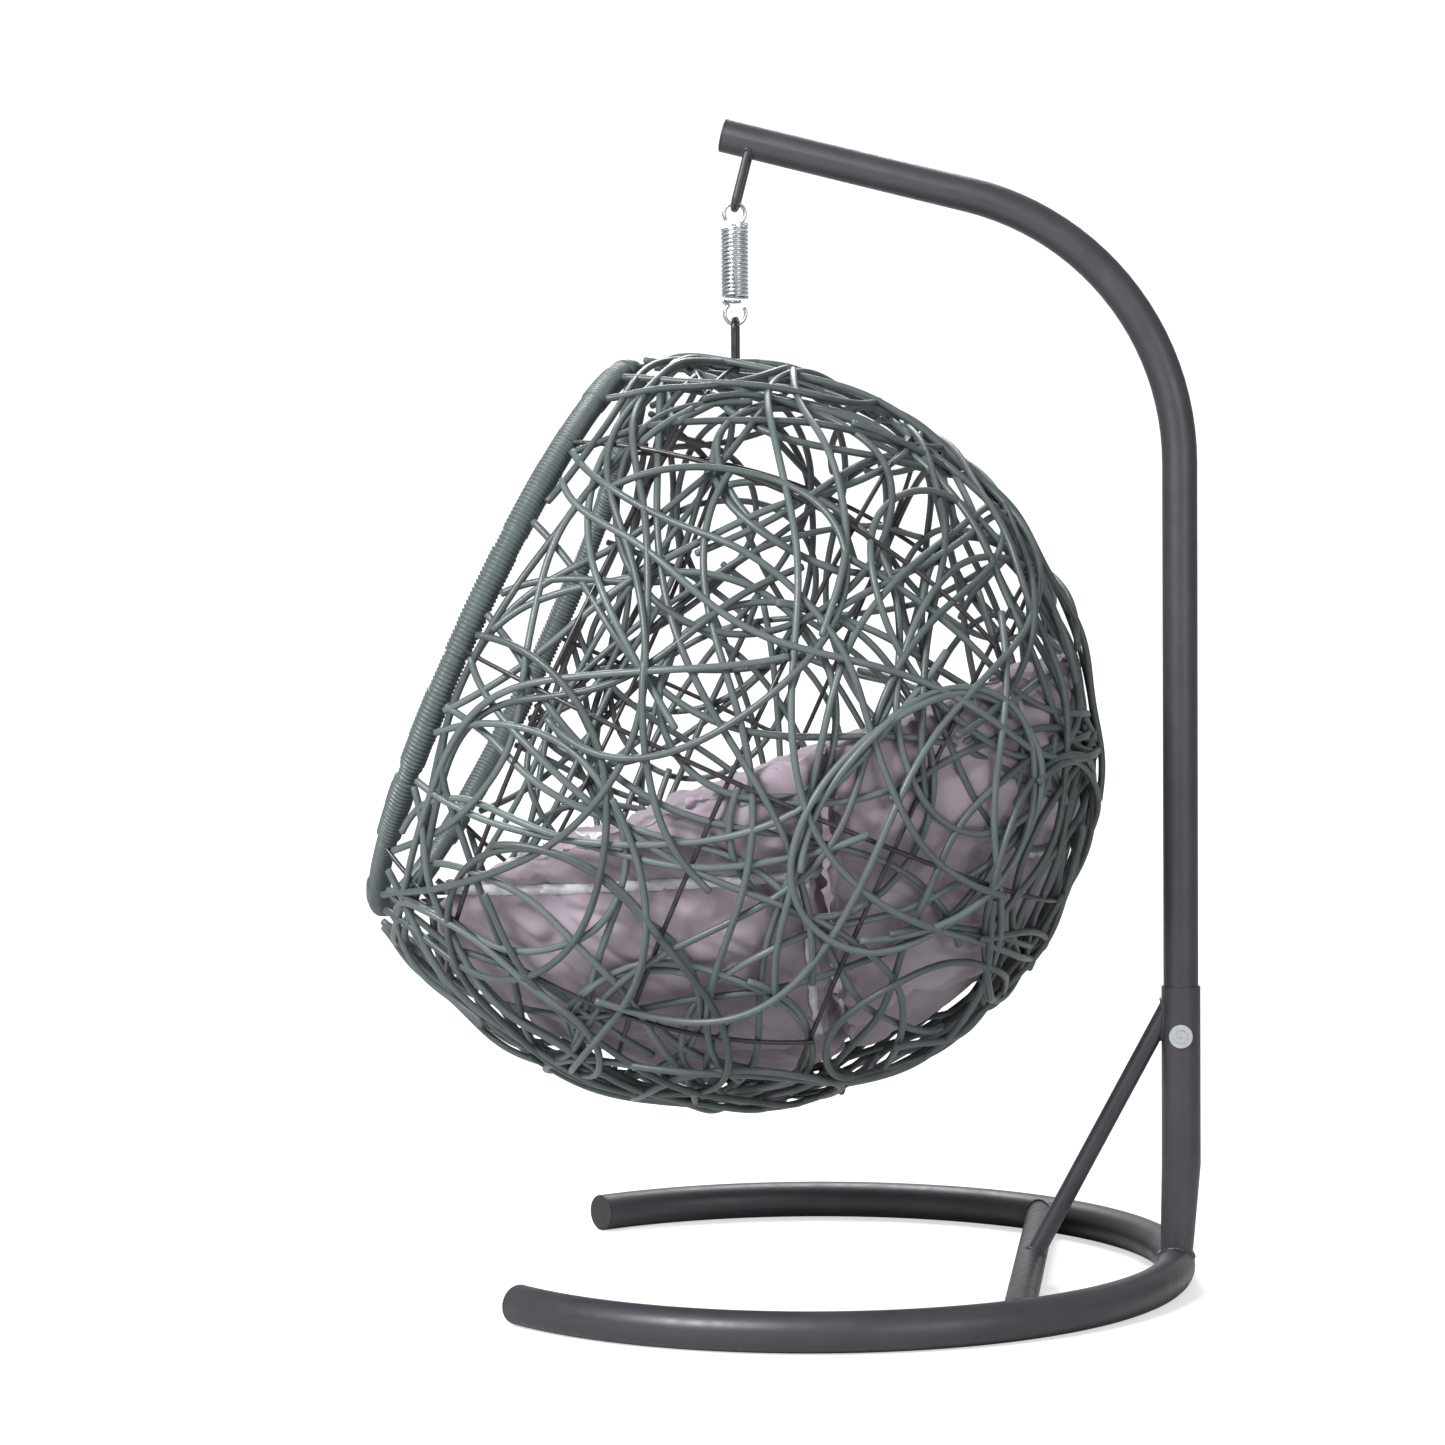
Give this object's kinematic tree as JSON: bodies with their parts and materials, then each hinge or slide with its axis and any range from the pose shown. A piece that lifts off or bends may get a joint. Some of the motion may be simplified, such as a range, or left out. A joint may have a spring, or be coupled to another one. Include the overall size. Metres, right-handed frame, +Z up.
{
  "type": "hanging egg chair",
  "caption": "Egg-shaped woven basket seat with cushions, hung by a spring from a bent tube mast on a C-shaped ring base",
  "frame": {"origin": "on the floor, at the middle of the whole chair's box", "axes": "+Z up; the basket's open front faces -Y and the mast stands at +Y; X runs across the chair"},
  "size_m": [1.2654, 1.3747, 1.9341],
  "materials": {
    "stand_coat": "satin charcoal powder coat with a fine sand texture",
    "frame_enamel": "satin near-black enamel on the basket's rods",
    "zinc": "bright zinc plate with a faint blue cast",
    "cane": "slate grey-green polyethylene cane, satin, lightly streaked",
    "cushion_fabric": "mauve-grey woven polyester",
    "cap_plastic": "black moulded plastic"
  },
  "bodies": {
    "stand": {"base_ring": "stand_coat", "base_crossbar": "stand_coat", "lower_post": "stand_coat", "brace": "stand_coat", "mast": "stand_coat", "hanger_hook": "stand_coat", "mast_bolt": "zinc", "bolt_washers": "zinc", "mast_bolt_nut": "zinc", "arm_end_cap": "cap_plastic", "ring_end_cap_left": "cap_plastic", "ring_end_cap_right": "cap_plastic"},
    "spring_top": {"spring_top_hook": "zinc"},
    "spring_body": {"spring_coil": "zinc"},
    "spring_bottom": {"spring_bottom_hook": "zinc"},
    "basket": {"hanging_loop": "frame_enamel", "frame_ring_front": "frame_enamel", "frame_ring_middle": "frame_enamel", "frame_ring_rear": "frame_enamel", "rib_centre": "frame_enamel", "rib_right": "frame_enamel", "rib_left": "frame_enamel", "rib_upper_right": "frame_enamel", "rib_lower_right": "frame_enamel", "rib_upper_left": "frame_enamel", "rib_lower_left": "frame_enamel", "rim_hoop": "frame_enamel", "rim_winding": "cane", "weave_shell": "cane", "seat_cushion": "cushion_fabric", "back_cushion": "cushion_fabric"}
  },
  "joints": [
    {"name": "swing_fore_aft", "type": "hinge", "parent": "stand", "child": "spring_top", "pos_m": [0, -0.07667, 1.78388], "axis": [1, 0, 0], "range_deg": [-20, 3]},
    {"name": "twist", "type": "hinge", "parent": "spring_top", "child": "spring_body", "pos_m": [0, -0.07667, 1.75483], "axis": [0, 0, 1], "range_deg": [-45, 45], "stiffness_Nm_per_rad": 6.3},
    {"name": "bounce", "type": "slide", "parent": "spring_body", "child": "spring_bottom", "axis": [0, 0, 1], "range_m": [-0.07, 0], "stiffness_N_per_m": 12700, "springref_m": 0.0236, "deforming": ["spring_coil"]},
    {"name": "swing_side", "type": "hinge", "parent": "spring_bottom", "child": "basket", "pos_m": [0, -0.07667, 1.59282], "axis": [0, 1, 0], "range_deg": [-6, 6]}
  ]
}
